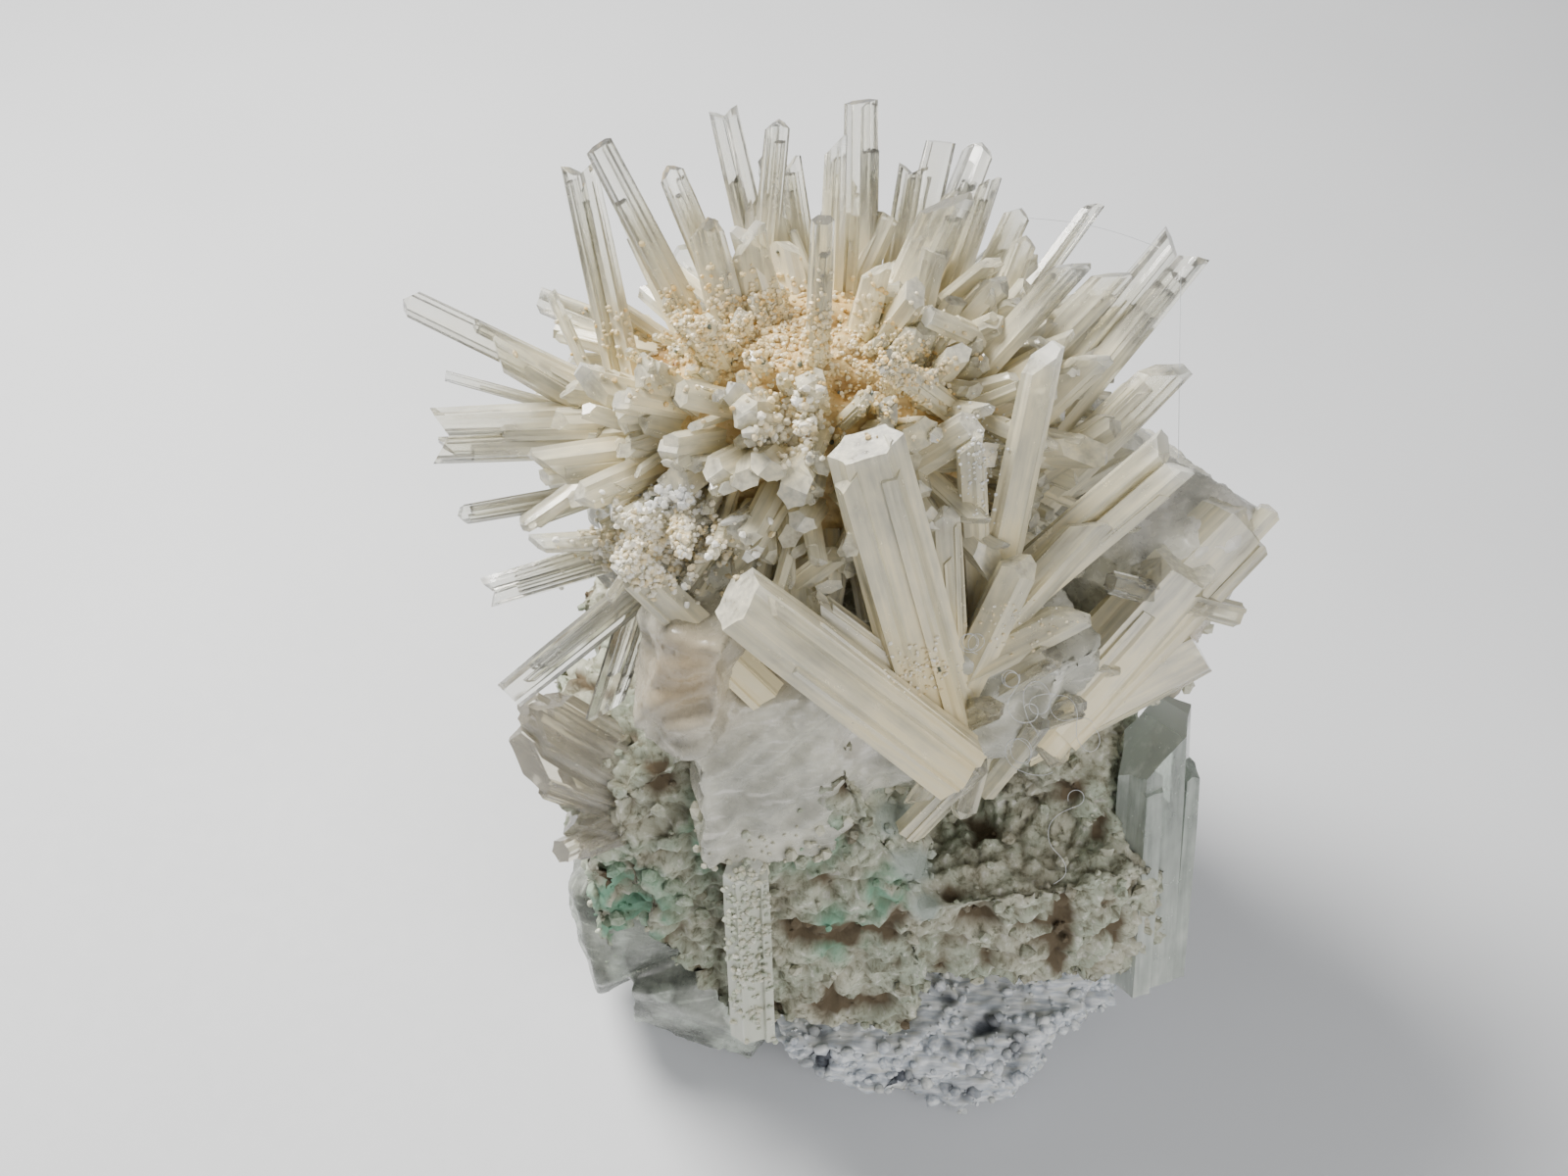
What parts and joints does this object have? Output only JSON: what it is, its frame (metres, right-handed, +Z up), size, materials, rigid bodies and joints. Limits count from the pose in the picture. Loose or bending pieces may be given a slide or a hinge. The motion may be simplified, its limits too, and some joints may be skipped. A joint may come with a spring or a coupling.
{
  "type": "gypsum crystal specimen",
  "caption": "Hand specimen of gypsum: a dome of radiating selenite blades on massive gypsum, set in a crumbly host rock, with a small flat patch to stand on.",
  "frame": {"origin": "on the floor, under the middle of the specimen's box", "axes": "+Z up as the specimen stands, +Y away from the good side, +X to the right as the good side is seen"},
  "size_m": [0.0704, 0.0584, 0.0934],
  "materials": {
    "crystal_gypsum": "glassy to milky, translucent",
    "plate_gypsum": "dull glassy, translucent, dusted with matrix",
    "earthy_matrix": "earthy, matt",
    "fibrous_gypsum": "silky, stepped"
  },
  "bodies": {
    "root": {"gypsum_spray": "crystal_gypsum", "left_blades": "crystal_gypsum", "right_plate": "plate_gypsum", "matrix_prism": "plate_gypsum", "lower_gypsum": "plate_gypsum", "fibrous_foot": "fibrous_gypsum", "matrix": "earthy_matrix"}
  },
  "joints": []
}
